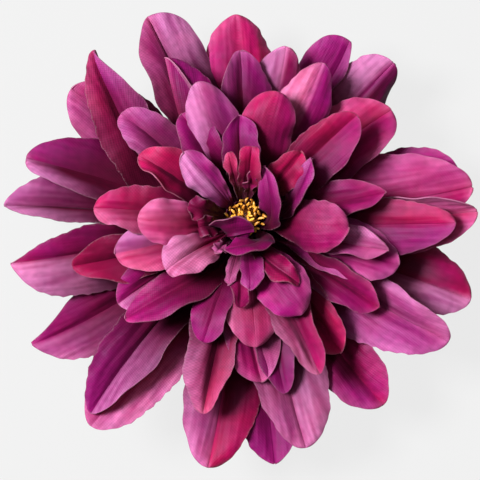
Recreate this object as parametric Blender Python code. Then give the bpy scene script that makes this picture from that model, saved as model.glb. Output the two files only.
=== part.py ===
"""Dahlia flower head made of cloth, lying on its back with its face up.

Six layers of cut cloth petals are threaded on the pin of a moulded calyx, the widest layer at the
back. A bunch of stamens caps the pin. The origin is the middle of the calyx's flat back, +Z points
out of the flower's face, and azimuths run anticlockwise from +X as seen from the front.

Sizes are in millimetres and angles in degrees.
"""

import math
import random
from collections import namedtuple

import bpy
from mathutils import Vector

MM = 0.001

# Driving dimensions.
CLOTH_THICKNESS = 0.6       # the stiffened cloth with its heat-set folds
LAYER_GAP = 0.3             # play between a ring and whatever it is stacked on or threaded on
RING_PITCH = 3.4            # height that each layer takes on the pin
FIRST_RING_BOTTOM = 7.6     # the calyx's seat for the back layer
BACK_RING_RADIUS = 9.5
RING_RADIUS_STEP = 1.0      # each ring is this much smaller than the one behind it
BOWL_RISE = 20.0            # how much higher than flat the whole flower stands at its rim
FLOWER_RADIUS = 75.0
PIN_RADIUS = 1.6
PIN_GRIP = 3.0              # how far the pin reaches into the stamens' cap
CALYX_BACK_RADIUS = 10.0
CALYX_RIM_RADIUS = 11.5
CALYX_EDGE_CHAMFER = 1.0
SEPAL_COUNT = 9
SEPAL_WIDTH = 9.0
SEPAL_THICKNESS = 0.9
SEPAL_ROOT_HEIGHT = 4.6
SEPAL_FIRST_AZIMUTH = 10.0
STAMEN_NECK_RADIUS = 3.1
STAMEN_NECK_HEIGHT = 2.5
STAMEN_CORE_RADIUS = 4.0
STAMEN_CORE_HEIGHT = 7.6
STAMEN_SHOULDER_DROP = 2.2  # from the core's top to where its side begins
STAMEN_CROWN_DROP = 0.7     # from the core's top to where it is rounded off
STAMEN_CROWN_RADIUS = 2.8
STAMEN_COUNT = 42
STAMEN_ROOT_SPREAD = 3.2    # the outermost roots' distance from the axis
STAMEN_ROOT_DEPTH = 1.0
STAMEN_SPREAD = 5.8         # the outermost anthers' distance from the bunch's middle
STAMEN_RISE = 5.2           # how far the middle anthers stand above the core
STAMEN_DROOP = 3.4          # how much lower the outermost ones are
STAMEN_UNEVEN = 0.8         # the most that an anther is higher or lower than its neighbours
STAMEN_SWAY = 9.0           # the most that one is bent sideways round the axis
STAMEN_LEAN = 1.2           # how far the middle of the bunch leans towards +Y
ANTHER_RADIUS = 0.62
ANTHER_LENGTH = 1.9
ANTHER_SWELL = 1.05         # from the anther's end to where it is thickest
FILAMENT_RADIUS = 0.4
FILAMENT_END_RADIUS = 0.24
TURNED_SIDES = 24           # sides of the cup and the rings
CORE_SIDES = 16

# Derived dimensions.
RING_THICKNESS = RING_PITCH - LAYER_GAP
BORE_RADIUS = PIN_RADIUS + LAYER_GAP
STAMEN_SEAT = FIRST_RING_BOTTOM + 6 * RING_PITCH

# A petal's tip azimuth, reach from the axis and height; how far its left and right halves are folded
# up from the midrib, seen from the flower's axis looking out; how far round its root is set from its
# tip; how far out it arches and how wide each half is, as shares of what is usual in its layer; and
# how far it twists about its midrib.
Petal = namedtuple(
    "Petal", "azimuth reach height left right swing bow wide_left wide_right twist",
    defaults=(0, 1, 1, 1, 0))

# A layer's cut: its petals' width, and the middle of the arch that all its midribs follow.
Layer = namedtuple("Layer", "name width arch_reach arch_height petals")

LAYERS = (
    Layer("petal_layer_1_back", 25.0, 38.0, 15.0, (
        Petal(115.5, 71, 13, 52, 8, -1),
        Petal(92.5, 65, 14, -12, -20, 0),
        Petal(60, 66, 14, 10, 65, 4, wide_right=0.8),
        Petal(47, 68, 15, -20, -60, 0),
        Petal(14.5, 69, 10, 5, 5, 0, wide_left=0.85),
        Petal(-19, 75.5, 6, 0, 62, 0),
        Petal(-53, 72.5, 12, 42, 28, 0),
        Petal(-83, 76.5, 10, 25, 25, 0),
        Petal(-98.6, 77.5, 14, 15, 12, 0),
        Petal(-127, 79.5, 16, 15, 0, 3),
        Petal(-150, 77, 12, 5, 28, 0),
        Petal(176.3, 75.5, 13, 76, 12, 0),
        Petal(142.5, 68.5, 14, 10, 25, 0),
    )),
    Layer("petal_layer_2", 24.0, 32.0, 24.0, (
        Petal(131, 71, 18, 32, 48, 24, bow=1.4),
        Petal(76.7, 55.5, 28, -15, -35, 0),
        Petal(37.2, 57.5, 21, 18, 45, 0),
        Petal(8.8, 72, 14, 14, -10, 4, wide_left=1.12),
        Petal(2.5, 72, 21, 45, 12, -7),
        Petal(-30.4, 73.5, 19, 45, 13, -2, wide_right=1.1),
        Petal(-75, 73, 18, 5, 32, 3, wide_left=1.12),
        Petal(-128.7, 76.5, 18, 62, 28, 0),
        Petal(-169.8, 74, 20, -5, 50, 0, wide_left=1.15, wide_right=0.9),
        Petal(163.8, 71, 19, 62, 5, 0),
    )),
    Layer("petal_layer_3", 20.0, 22.0, 34.5, (
        Petal(115.7, 56.5, 28, 125, 8, 24, wide_right=1.5),
        Petal(139.1, 51, 30, 45, 22, 0),
        Petal(91.7, 53, 30, 50, -10, 0),
        Petal(64, 54.5, 32, -18, -35, -6),
        Petal(-0.5, 65, 30, 10, -10, 0, wide_left=0.8),
        Petal(-15, 49, 29, 30, 55, 0),
        Petal(-32.4, 49.5, 29, 62, 40, 0),
        Petal(-53.5, 50.5, 28, 45, 45, 0),
        Petal(-76.9, 55, 27, 35, 45, 0),
        Petal(-84, 50, 30, 32, 30, -8),
        Petal(-102.4, 61, 28, 52, 52, 0),
        Petal(-147, 47, 30, 30, 42, 0),
        Petal(-165.6, 55.5, 28, 38, 50, 0),
    )),
    Layer("petal_layer_4", 17.0, 18.0, 44.5, (
        Petal(109, 45.5, 43, 0, -8, 0),
        Petal(120.7, 38.5, 40, 52, 35, 0),
        Petal(148, 38.5, 41, 35, 12, 0),
        Petal(175, 47, 37, 38, 15, 0),
        Petal(76, 41, 42, -10, -15, 0),
        Petal(43.5, 47.5, 38, 35, 35, 0),
        Petal(11.5, 43.5, 38, 12, 58, 0),
        Petal(-13, 44.5, 38, 38, 45, 0),
        Petal(-64, 52.5, 36, 45, 42, 0),
        Petal(-85.1, 39, 40, -8, 15, 0),
        Petal(-109.1, 39.5, 40, 48, -5, 0, wide_left=0.7, wide_right=0.7),
        Petal(-141.4, 47.5, 38, 20, 30, 30, wide_right=0.85),
        Petal(-166, 41.5, 37, 60, 20, 0),
    )),
    Layer("petal_layer_5", 16.5, 16.0, 51.0, (
        Petal(131.5, 28.2, 48, -10, -15, 0, wide_left=0.7, wide_right=0.7, bow=0.5, twist=-15),
        Petal(179, 33, 48, 0, -4, 0, wide_left=0.9, wide_right=0.85),
        Petal(-148, 28.5, 48, 45, 5, 0),
        Petal(-59, 33.5, 47, -10, -10, 0),
        Petal(-2.7, 31.5, 48, -8, -8, 0),
        Petal(50.6, 27.3, 47, 45, 35, 0, wide_left=0.75, wide_right=0.7),
        Petal(43.8, 27.8, 50, 20, 20, -42, wide_left=0.5, wide_right=0.5),
        Petal(93, 33, 44, 45, 45, 0),
    )),
    Layer("petal_layer_6_inner", 9.5, 12.5, 53.5, (
        Petal(71, 17.8, 51, 15, 15, -88, twist=60),
        Petal(84.8, 22.7, 54, 50, 50, 0, wide_left=0.95, wide_right=0.95),
        Petal(83, 17.5, 49, 62, 62, 0, wide_left=0.7, wide_right=0.7),
        Petal(103.4, 21.4, 54, 45, 25, 0, wide_left=0.5, wide_right=0.5),
        Petal(164, 18.1, 50, 20, 20, 0, wide_left=0.8, wide_right=0.8),
        Petal(-172, 14.5, 48, 40, 30, 0, wide_left=0.9, wide_right=0.8),
        Petal(-50, 4, 46, 10, 10, -95, twist=50),
        Petal(-133, 13, 51, 60, 50, 0, wide_left=0.6, wide_right=0.6),
        Petal(-126.6, 10.7, 52, 10, 10, 87, twist=-60),
        Petal(-104.3, 20.1, 50, 30, 30, 0, wide_left=0.45, wide_right=0.45),
        Petal(-86, 21.1, 51, 30, 30, 0, wide_left=1.1, wide_right=0.7),
        Petal(-93.4, 26.8, 46, 45, 45, 0),
        Petal(-48.5, 25.2, 49, 30, 30, -27),
    )),
)

# The sepals are cut and bent by the same rule.
SEPAL_CUT = Layer("sepal", SEPAL_WIDTH, 18.0, 6.6, ())
SEPAL = Petal(SEPAL_FIRST_AZIMUTH, 27.0, 5.0, 12, 12, 0)
SEPAL_STATIONS = (0.0, 0.4, 0.8, 1.0)

LENGTH_STATIONS = (0.0, 0.27, 0.52, 0.74, 0.92, 1.0)
CROSS_STATIONS = (-1.0, -0.5, 0.0, 0.5, 1.0)
ROOT_INSET = 0.8            # how far a petal's root is sunk into its ring
ROOT_SHARE = 0.16           # the root's share of the petal's width
TIP_SHARE = 0.07            # the tip's share of it
WIDEST_AT = 0.64            # share of the length where the cut is widest
HALF_DOME = 0.13            # how far each half bulges between midrib and edge, as a share of its width
FOLD_START = 0.08           # share of the length where the halves begin to fold up
FOLD_LENGTH = 0.5           # share of it over which they do
TWIST_LENGTH = 0.7          # share of it over which a petal twists


def smooth_step(value):
    """0 below 0, 1 above 1, and a smooth rise between."""
    share = min(1.0, max(0.0, value))
    return share * share * (3.0 - 2.0 * share)


def polar(azimuth, radius, height):
    """A point given by its azimuth round the axis, its distance from the axis and its height."""
    turn = math.radians(azimuth)
    return Vector((radius * math.cos(turn), radius * math.sin(turn), height))


def new_object(name, points, faces, material):
    """A mesh object from points in millimetres, with its one material."""
    mesh = bpy.data.meshes.new(name)
    mesh.from_pydata([point * MM for point in points], [], faces)
    mesh.materials.append(material)
    made = bpy.data.objects.new(name, mesh)
    bpy.context.scene.collection.objects.link(made)
    return made


def new_material(name, colour, roughness, metallic=0.0):
    made = bpy.data.materials.new(name)
    made.use_nodes = True
    shader = made.node_tree.nodes["Principled BSDF"]
    shader.inputs["Base Color"].default_value = (*colour, 1.0)
    shader.inputs["Roughness"].default_value = roughness
    shader.inputs["Metallic"].default_value = metallic
    return made


def cut_share(along):
    """The petal's outline: its width at a share of its length, as a share of its greatest width."""
    if along < WIDEST_AT:
        return ROOT_SHARE + (1.0 - ROOT_SHARE) * smooth_step(along / WIDEST_AT)
    past = (along - WIDEST_AT) / (1.0 - WIDEST_AT)
    return TIP_SHARE + (1.0 - TIP_SHARE) * math.sqrt(1.0 - past**2.4)


def midrib_frames(root, arch, tip, stations):
    """Points, side directions and face directions along a petal's midrib, turning with it."""
    frames = []
    outward = Vector((arch.x - root.x, arch.y - root.y, 0.0)).normalized()
    side = Vector((0.0, 0.0, 1.0)).cross(outward)
    for along in stations:
        point = root * (1 - along) ** 2 + arch * (2 * along * (1 - along)) + tip * along**2
        heading = ((arch - root) * (1 - along) + (tip - arch) * along).normalized()
        side = (side - heading * side.dot(heading)).normalized()
        frames.append((point, side, heading.cross(side)))
    return frames


def in_bowl(point):
    """The point raised as the whole flower is, more the nearer it is to the rim."""
    return point + Vector((0.0, 0.0, BOWL_RISE * (point.x**2 + point.y**2) / FLOWER_RADIUS**2))


def petal_surface(petal, layer, ring_radius, ring_middle, stations, cross_stations):
    """Rows of points on the middle of a petal's cloth, from its root to its tip."""
    root = polar(petal.azimuth + petal.swing, ring_radius - ROOT_INSET, ring_middle)
    arch = polar(petal.azimuth + petal.swing, layer.arch_reach * petal.bow, layer.arch_height)
    tip = polar(petal.azimuth, petal.reach, petal.height)
    rows = []
    for along, (point, side, face) in zip(stations, midrib_frames(root, arch, tip, stations)):
        turn = math.radians(petal.twist) * smooth_step(along / TWIST_LENGTH)
        aside = side * math.cos(turn) + face * math.sin(turn)
        above = face * math.cos(turn) - side * math.sin(turn)
        opened = smooth_step((along - FOLD_START) / FOLD_LENGTH)
        row = []
        for across in cross_stations:
            half = layer.width / 2 * cut_share(along) * (petal.wide_left if across > 0 else petal.wide_right)
            lift = math.radians(petal.left if across > 0 else petal.right) * opened
            out = half * abs(across)
            dome = half * HALF_DOME * opened * 4.0 * abs(across) * (1.0 - abs(across))
            sideways = math.copysign(out * math.cos(lift) - dome * math.sin(lift), across)
            upwards = out * math.sin(lift) + dome * math.cos(lift)
            row.append(in_bowl(point + aside * sideways + above * upwards))
        rows.append(row)
    return rows


def surface_normals(rows):
    """The face direction at each point of a grid of points, from its neighbours."""
    last_row = len(rows) - 1
    last_column = len(rows[0]) - 1
    normals = []
    for i in range(len(rows)):
        line = []
        for j in range(len(rows[0])):
            ahead = rows[min(i + 1, last_row)][j] - rows[max(i - 1, 0)][j]
            aside = rows[i][min(j + 1, last_column)] - rows[i][max(j - 1, 0)]
            line.append(ahead.cross(aside).normalized())
        normals.append(line)
    return normals


def blade_solid(rows, thickness):
    """Points and triangles of a closed blade of even thickness about a grid of points."""
    normals = surface_normals(rows)
    columns = len(rows[0])
    flat = [point for row in rows for point in row]
    flat_normals = [normal for row in normals for normal in row]
    count = len(flat)
    points = [p + n * (thickness / 2) for p, n in zip(flat, flat_normals)]
    points += [p - n * (thickness / 2) for p, n in zip(flat, flat_normals)]
    faces = []
    for i in range(len(rows) - 1):
        for j in range(columns - 1):
            a = i * columns + j
            b, c, d = a + 1, a + columns + 1, a + columns
            pair = [(a, c, b), (a, d, c)] if j * 2 < columns - 1 else [(a, d, b), (b, d, c)]
            faces += pair
            faces += [tuple(count + v for v in reversed(face)) for face in pair]
    rim = list(range(columns))
    rim += [i * columns + columns - 1 for i in range(1, len(rows))]
    rim += [(len(rows) - 1) * columns + j for j in range(columns - 2, -1, -1)]
    rim += [i * columns for i in range(len(rows) - 2, 0, -1)]
    for a, b in zip(rim, rim[1:] + rim[:1]):
        faces += [(a, b, count + b), (a, count + b, count + a)]
    return points, faces


def turned_solid(profile, sides):
    """Points and faces of a solid turned about the axis from (radius, height) points, listed
    anticlockwise with the axis on the left; a radius of 0 closes it on the axis."""
    points = []
    rings = []
    for radius, height in profile:
        if radius == 0:
            rings.append([len(points)])
            points.append(Vector((0.0, 0.0, height)))
            continue
        rings.append(list(range(len(points), len(points) + sides)))
        points += [polar(360.0 * k / sides, radius, height) for k in range(sides)]
    faces = []
    closed = profile[0][0] != 0
    for lower, upper in zip(rings, rings[1:] + rings[:1] if closed else rings[1:]):
        for k in range(sides):
            after = (k + 1) % sides
            if len(lower) == 1:
                faces.append((lower[0], upper[after], upper[k]))
            elif len(upper) == 1:
                faces.append((lower[k], lower[after], upper[0]))
            else:
                faces.append((lower[k], lower[after], upper[after], upper[k]))
    return points, faces


def join_pieces(body, pieces):
    """Joins the pieces to the body in one solid and removes them."""
    group = bpy.data.collections.new(body.name + "_pieces")
    bpy.context.scene.collection.children.link(group)
    for piece in pieces:
        bpy.context.scene.collection.objects.unlink(piece)
        group.objects.link(piece)
    union = body.modifiers.new("join", "BOOLEAN")
    union.operation = "UNION"
    union.operand_type = "COLLECTION"
    union.collection = group
    union.solver = "MANIFOLD"
    bpy.context.view_layer.objects.active = body
    bpy.ops.object.modifier_apply(modifier=union.name)
    for piece in pieces:
        bpy.data.objects.remove(piece)
    bpy.data.collections.remove(group)


def make_layer(number, layer, cloth):
    """One layer: a ring threaded on the pin, with its petals' roots sunk into it."""
    radius = BACK_RING_RADIUS - number * RING_RADIUS_STEP
    bottom = FIRST_RING_BOTTOM + LAYER_GAP + number * RING_PITCH
    top = bottom + RING_THICKNESS
    profile = [(BORE_RADIUS, top), (BORE_RADIUS, bottom), (radius, bottom), (radius, top)]
    ring = new_object(layer.name, *turned_solid(profile, TURNED_SIDES), cloth)
    blades = []
    for petal in layer.petals:
        rows = petal_surface(
            petal, layer, radius, (bottom + top) / 2, LENGTH_STATIONS, CROSS_STATIONS)
        blades.append(new_object("blade", *blade_solid(rows, CLOTH_THICKNESS), cloth))
    join_pieces(ring, blades)


def make_calyx(green):
    """The moulded cup behind the petals, with its sepals and the pin that carries the layers."""
    pin_top = STAMEN_SEAT + PIN_GRIP
    profile = [
        (0, 0), (CALYX_BACK_RADIUS, 0), (CALYX_BACK_RADIUS + CALYX_EDGE_CHAMFER, CALYX_EDGE_CHAMFER),
        (CALYX_RIM_RADIUS, FIRST_RING_BOTTOM - CALYX_EDGE_CHAMFER),
        (CALYX_RIM_RADIUS - CALYX_EDGE_CHAMFER, FIRST_RING_BOTTOM),
        (PIN_RADIUS, FIRST_RING_BOTTOM), (PIN_RADIUS, pin_top), (0, pin_top),
    ]
    cup = new_object("calyx", *turned_solid(profile, TURNED_SIDES), green)
    sepals = []
    for k in range(SEPAL_COUNT):
        sepal = SEPAL._replace(azimuth=SEPAL.azimuth + 360.0 * k / SEPAL_COUNT)
        rows = petal_surface(
            sepal, SEPAL_CUT, CALYX_RIM_RADIUS - CALYX_EDGE_CHAMFER, SEPAL_ROOT_HEIGHT,
            SEPAL_STATIONS, CROSS_STATIONS[::2])
        sepals.append(new_object("sepal", *blade_solid(rows, SEPAL_THICKNESS), green))
    join_pieces(cup, sepals)


def spindle(start, end, material):
    """One stamen: a three-sided filament from start to end with the anther swelling round its end."""
    heading = (end - start).normalized()
    side = heading.orthogonal().normalized()
    over = heading.cross(side)
    length = (end - start).length
    stations = [
        (0.0, FILAMENT_RADIUS), (length - ANTHER_LENGTH, FILAMENT_RADIUS),
        (length - ANTHER_SWELL, ANTHER_RADIUS), (length, FILAMENT_END_RADIUS),
    ]
    points = []
    for along, radius in stations:
        for k in range(3):
            turn = math.tau * k / 3
            points.append(start + heading * along + (side * math.cos(turn) + over * math.sin(turn)) * radius)
    last = len(points) - 3
    faces = [(2, 1, 0), (last, last + 1, last + 2)]
    for i in range(0, last, 3):
        for k in range(3):
            a, b = i + k, i + (k + 1) % 3
            faces += [(a, b, b + 3), (a, b + 3, a + 3)]
    return new_object("stamen", points, faces, material)


def make_stamens(yellow):
    """A domed cap pressed on the pin's end, with the stamens fanning out of it in a spiral."""
    seat = STAMEN_SEAT + LAYER_GAP
    dome = seat + STAMEN_CORE_HEIGHT
    bore_end = STAMEN_SEAT + PIN_GRIP + LAYER_GAP
    profile = [
        (0, bore_end), (BORE_RADIUS, bore_end), (BORE_RADIUS, seat), (STAMEN_NECK_RADIUS, seat),
        (STAMEN_NECK_RADIUS, seat + STAMEN_NECK_HEIGHT), (STAMEN_CORE_RADIUS, dome - STAMEN_SHOULDER_DROP),
        (STAMEN_CROWN_RADIUS, dome - STAMEN_CROWN_DROP), (0, dome),
    ]
    core = new_object("stamens", *turned_solid(profile, CORE_SIDES), yellow)
    draw = random.Random(7)
    golden_turn = 180.0 * (3.0 - math.sqrt(5.0))
    pieces = []
    for k in range(STAMEN_COUNT):
        share = math.sqrt((k + 0.5) / STAMEN_COUNT)
        azimuth = k * golden_turn
        root_height = dome - STAMEN_ROOT_DEPTH - STAMEN_SHOULDER_DROP * share**2
        start = polar(azimuth, STAMEN_ROOT_SPREAD * share, root_height)
        height = dome + STAMEN_RISE - STAMEN_DROOP * share**2 + draw.uniform(-STAMEN_UNEVEN, STAMEN_UNEVEN)
        end = polar(azimuth + draw.uniform(-STAMEN_SWAY, STAMEN_SWAY), STAMEN_SPREAD * share, height)
        end.y += STAMEN_LEAN * (1.0 - share**2)
        pieces.append(spindle(start, end, yellow))
    join_pieces(core, pieces)


def main():
    for old in list(bpy.data.objects):
        bpy.data.objects.remove(old)
    cloth = new_material("dyed_cloth", (0.34, 0.03, 0.16), 0.6)
    green = new_material("green_plastic", (0.10, 0.20, 0.05), 0.5)
    yellow = new_material("yellow_plastic", (0.52, 0.29, 0.04), 0.45)
    make_calyx(green)
    for number, layer in enumerate(LAYERS):
        make_layer(number, layer, cloth)
    make_stamens(yellow)


main()
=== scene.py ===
import math
import random
from collections import namedtuple

import bpy
import numpy as np
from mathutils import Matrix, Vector


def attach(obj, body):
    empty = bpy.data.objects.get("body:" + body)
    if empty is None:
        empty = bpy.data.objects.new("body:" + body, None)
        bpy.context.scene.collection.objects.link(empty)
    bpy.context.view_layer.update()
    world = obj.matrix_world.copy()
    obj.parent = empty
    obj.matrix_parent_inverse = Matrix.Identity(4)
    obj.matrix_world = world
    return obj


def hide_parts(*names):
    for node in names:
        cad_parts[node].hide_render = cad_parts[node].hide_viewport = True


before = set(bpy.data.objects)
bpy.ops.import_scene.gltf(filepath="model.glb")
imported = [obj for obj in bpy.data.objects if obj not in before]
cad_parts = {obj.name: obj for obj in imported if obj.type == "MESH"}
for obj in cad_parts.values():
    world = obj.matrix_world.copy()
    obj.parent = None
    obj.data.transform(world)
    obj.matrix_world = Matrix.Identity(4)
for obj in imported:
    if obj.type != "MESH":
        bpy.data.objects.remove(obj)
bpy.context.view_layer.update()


# Calyx: the moulded cup that holds the flower together from behind, with nine sepals and the pin that the
# petal layers are threaded on. It is injection-moulded polyethylene, leaf green, and the head rests on
# its flat back.
MM = 0.001


def linear(hex_colour):
    """An sRGB hex colour as the linear RGBA that shaders take."""
    channels = [int(hex_colour[i:i + 2], 16) / 255 for i in (1, 3, 5)]
    return (*[c / 12.92 if c <= 0.04045 else ((c + 0.055) / 1.055) ** 2.4 for c in channels], 1.0)


def add_node(tree, kind, inputs=None, **settings):
    """Adds a node, sets its properties, and gives each named input a value or links it to a socket."""
    node = tree.nodes.new(kind)
    for name, setting in settings.items():
        setattr(node, name, setting)
    for key, value in (inputs or {}).items():
        if isinstance(value, bpy.types.NodeSocket):
            tree.links.new(value, node.inputs[key])
        else:
            node.inputs[key].default_value = value
    return node


def new_material(name):
    """An empty node material with its output node."""
    material = bpy.data.materials.new(name)
    material.use_nodes = True
    material.node_tree.nodes.clear()
    return material, material.node_tree


def finish_shader(tree, shader):
    """Links the shader to the material's output."""
    add_node(tree, "ShaderNodeOutputMaterial", {"Surface": shader.outputs[0]})


def smooth_step(value):
    """0 below 0, 1 above 1, and a smooth rise between."""
    share = np.clip(value, 0.0, 1.0)
    return share * share * (3.0 - 2.0 * share)


def polar(azimuth, radius, height):
    """A point in metres from an azimuth in degrees, a radius and a height in millimetres."""
    turn = math.radians(azimuth)
    return Vector((radius * math.cos(turn), radius * math.sin(turn), height)) * MM


def new_piece(name, vertices, faces, materials):
    """A smooth-shaded mesh object at the origin, its vertices in metres."""
    mesh = bpy.data.meshes.new(name)
    mesh.from_pydata([tuple(v) for v in vertices], [], faces)
    for material in materials:
        mesh.materials.append(material)
    mesh.shade_smooth()
    piece = bpy.data.objects.new(name, mesh)
    bpy.context.scene.collection.objects.link(piece)
    return piece


def applied(piece, sharp_angle=40.0):
    """The same piece with its modifiers turned into plain mesh, and its edges sharp where it folds."""
    graph = bpy.context.evaluated_depsgraph_get()
    mesh = bpy.data.meshes.new_from_object(piece.evaluated_get(graph))
    piece.modifiers.clear()
    piece.data = mesh
    mesh.shade_smooth()
    mesh.set_sharp_from_angle(angle=math.radians(sharp_angle))
    return piece


def midrib_frames(root, arch, tip, stations):
    """Points, side directions and face directions along a midrib, turning with it."""
    frames = []
    outward = Vector((arch.x - root.x, arch.y - root.y, 0.0)).normalized()
    side = Vector((0.0, 0.0, 1.0)).cross(outward)
    for along in stations:
        point = root * (1 - along) ** 2 + arch * (2 * along * (1 - along)) + tip * along**2
        heading = ((arch - root) * (1 - along) + (tip - arch) * along).normalized()
        side = (side - heading * side.dot(heading)).normalized()
        frames.append((point, side, heading.cross(side)))
    return [np.array(column) for column in zip(*frames)]


SEPAL_COUNT = 9
SEPAL_WIDTH = 9.0
SEPAL_THICKNESS = 0.8
SEPAL_FIRST_AZIMUTH = 10.0
SEPAL_ROOT_INSET = 1.5
SEPAL_ROOT_HEIGHT = 4.6
SEPAL_ARCH_REACH = 18.0
SEPAL_ARCH_HEIGHT = 6.6
SEPAL_REACH = 27.0
SEPAL_TIP_HEIGHT = 5.0
SEPAL_FOLD = 12.0
VEIN_HEIGHT = 0.12
VEIN_COUNT = 5
CALYX_BACK_RADIUS = 10.0
CALYX_RIM_RADIUS = 11.5
CALYX_HEIGHT = 7.6
CUP_SIDES = 72
PIN_RADIUS = 1.6
PIN_TOP = 31.0


def moulded_green():
    """Polyethylene moulded leaf green: waxy, with faint flow marks in a darker and a paler green."""
    material, tree = new_material("moulded_polyethylene_green")
    place = add_node(tree, "ShaderNodeTexCoord").outputs["Object"]
    flow = add_node(tree, "ShaderNodeTexNoise", {"Vector": place, "Scale": 180.0, "Detail": 3.0})
    mottle = add_node(tree, "ShaderNodeTexNoise", {"Vector": place, "Scale": 900.0, "Detail": 2.0})
    colour = add_node(tree, "ShaderNodeMix", {
        "Factor": flow.outputs["Fac"], "A": linear("#3d5a22"), "B": linear("#6b8a3c")}, data_type="RGBA")
    bump = add_node(tree, "ShaderNodeBump", {
        "Height": mottle.outputs["Fac"], "Strength": 0.25, "Distance": 0.0002})
    rough = add_node(tree, "ShaderNodeMapRange", {
        "Value": flow.outputs["Fac"], "To Min": 0.42, "To Max": 0.6})
    shader = add_node(tree, "ShaderNodeBsdfPrincipled", {
        "Base Color": colour.outputs["Result"], "Roughness": rough.outputs["Result"],
        "Normal": bump.outputs["Normal"], "IOR": 1.5})
    finish_shader(tree, shader)
    return material


def turned(profile, sides):
    """Vertices and quads of a profile of (radius, height) points, in millimetres, turned about the axis."""
    vertices = [polar(360.0 * k / sides, r, z) for r, z in profile for k in range(sides)]
    faces = []
    for i in range(len(profile) - 1):
        for k in range(sides):
            a, b = i * sides + k, i * sides + (k + 1) % sides
            faces.append((a, b, b + sides, a + sides))
    return vertices, faces


def sepal_sheet():
    """Rows of points on the sepal that points along +X: a tongue with a raised midrib and finer veins."""
    stations = np.linspace(0.0, 1.0, 17)
    across = np.linspace(-1.0, 1.0, 13)
    outwards = np.abs(across)
    root = polar(0.0, CALYX_RIM_RADIUS - SEPAL_ROOT_INSET, SEPAL_ROOT_HEIGHT)
    arch = polar(0.0, SEPAL_ARCH_REACH, SEPAL_ARCH_HEIGHT)
    tip = polar(0.0, SEPAL_REACH, SEPAL_TIP_HEIGHT)
    points, sides, fronts = midrib_frames(root, arch, tip, stations)
    rows = []
    for along, point, side, front in zip(stations, points, sides, fronts):
        past = max(0.0, (along - 0.5) / 0.5)
        half = SEPAL_WIDTH / 2 * MM * (0.45 + 0.55 * smooth_step(along / 0.5)) * (1 - past**2.2) ** 0.8
        half = max(half, 0.25 * MM)
        lift = math.radians(SEPAL_FOLD) * smooth_step((along - 0.08) / 0.5)
        vein = VEIN_HEIGHT * MM * np.cos(across * math.pi * VEIN_COUNT) * (1 - along)
        rise = half * outwards * math.sin(lift) + half * 0.5 * outwards * (1 - outwards) + vein
        rows.append(point + np.outer(half * across * math.cos(lift), side) + np.outer(rise, front))
    return np.array(rows)


def new_group(name, sizes):
    """A Geometry Nodes tree with named inputs, its input node, and the values to set on the modifier."""
    tree = bpy.data.node_groups.new(name, "GeometryNodeTree")
    tree.interface.new_socket("Geometry", in_out="INPUT", socket_type="NodeSocketGeometry")
    tree.interface.new_socket("Geometry", in_out="OUTPUT", socket_type="NodeSocketGeometry")
    settings = {}
    for label, setting in sizes.items():
        kind = "NodeSocketInt" if isinstance(setting, int) else "NodeSocketFloat"
        settings[tree.interface.new_socket(label, in_out="INPUT", socket_type=kind).identifier] = setting
    return tree, add_node(tree, "NodeGroupInput").outputs, settings


def grow(piece, tree, settings, geometry, material):
    """Ends the tree in real mesh with its material, runs it on the piece, and keeps the plain mesh."""
    real = add_node(tree, "GeometryNodeRealizeInstances", {"Geometry": geometry})
    dressed = add_node(tree, "GeometryNodeSetMaterial", {"Geometry": real.outputs[0], "Material": material})
    add_node(tree, "NodeGroupOutput", {0: dressed.outputs[0]})
    modifier = piece.modifiers.new("grow", "NODES")
    modifier.node_group = tree
    for identifier, setting in settings.items():
        modifier[identifier] = setting
    return applied(piece)


def grid_faces(rows, columns, base=0):
    """Quads of a grid of points."""
    faces = []
    for i in range(rows - 1):
        for j in range(columns - 1):
            a = base + i * columns + j
            faces.append((a, a + columns, a + columns + 1, a + 1))
    return faces


cup_profile = [
    (0.05, 0.5), (4.0, 0.5), (4.6, 0.0), (9.4, 0.0), (CALYX_BACK_RADIUS, 0.15), (10.5, 0.6), (10.9, 1.5),
    (11.2, 3.0), (CALYX_RIM_RADIUS, 6.2), (11.3, 7.1), (10.8, 7.5), (10.2, CALYX_HEIGHT),
    (2.4, CALYX_HEIGHT), (PIN_RADIUS, CALYX_HEIGHT + 0.6), (PIN_RADIUS, PIN_TOP - 0.4), (1.2, PIN_TOP),
    (0.05, PIN_TOP),
]
vertices, faces = turned(cup_profile, CUP_SIDES)
last = (len(cup_profile) - 1) * CUP_SIDES
ends = [tuple(reversed(range(CUP_SIDES))), tuple(range(last, last + CUP_SIDES))]
green = moulded_green()
calyx = new_piece("calyx_cup", vertices, faces + ends, [green])
calyx.data.set_sharp_from_angle(angle=math.radians(35))
sheet = sepal_sheet()
sepals = new_piece("calyx_sepals", sheet.reshape(-1, 3), grid_faces(*sheet.shape[:2]), [green])
skin = sepals.modifiers.new("thickness", "SOLIDIFY")
skin.thickness = SEPAL_THICKNESS * MM
skin.offset = 0.0
ring, given, sizes = new_group("ring_of_sepals", {
    "Count": SEPAL_COUNT, "First Azimuth": math.radians(SEPAL_FIRST_AZIMUTH)})
places = add_node(ring, "GeometryNodePoints", {"Count": given["Count"]})
number = add_node(ring, "GeometryNodeInputIndex")
step = add_node(ring, "ShaderNodeMath", {0: math.tau, 1: given["Count"]}, operation="DIVIDE")
turn = add_node(ring, "ShaderNodeMath", {
    0: number.outputs[0], 1: step.outputs[0], 2: given["First Azimuth"]}, operation="MULTIPLY_ADD")
about_axis = add_node(ring, "ShaderNodeCombineXYZ", {"Z": turn.outputs[0]})
set_round = add_node(ring, "GeometryNodeInstanceOnPoints", {
    "Points": places.outputs[0], "Instance": given["Geometry"], "Rotation": about_axis.outputs[0]})
grow(sepals, ring, sizes, set_round.outputs[0], green)
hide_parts("calyx")
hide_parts("calyx")
for piece in (calyx, sepals):
    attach(piece, "root")


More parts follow.
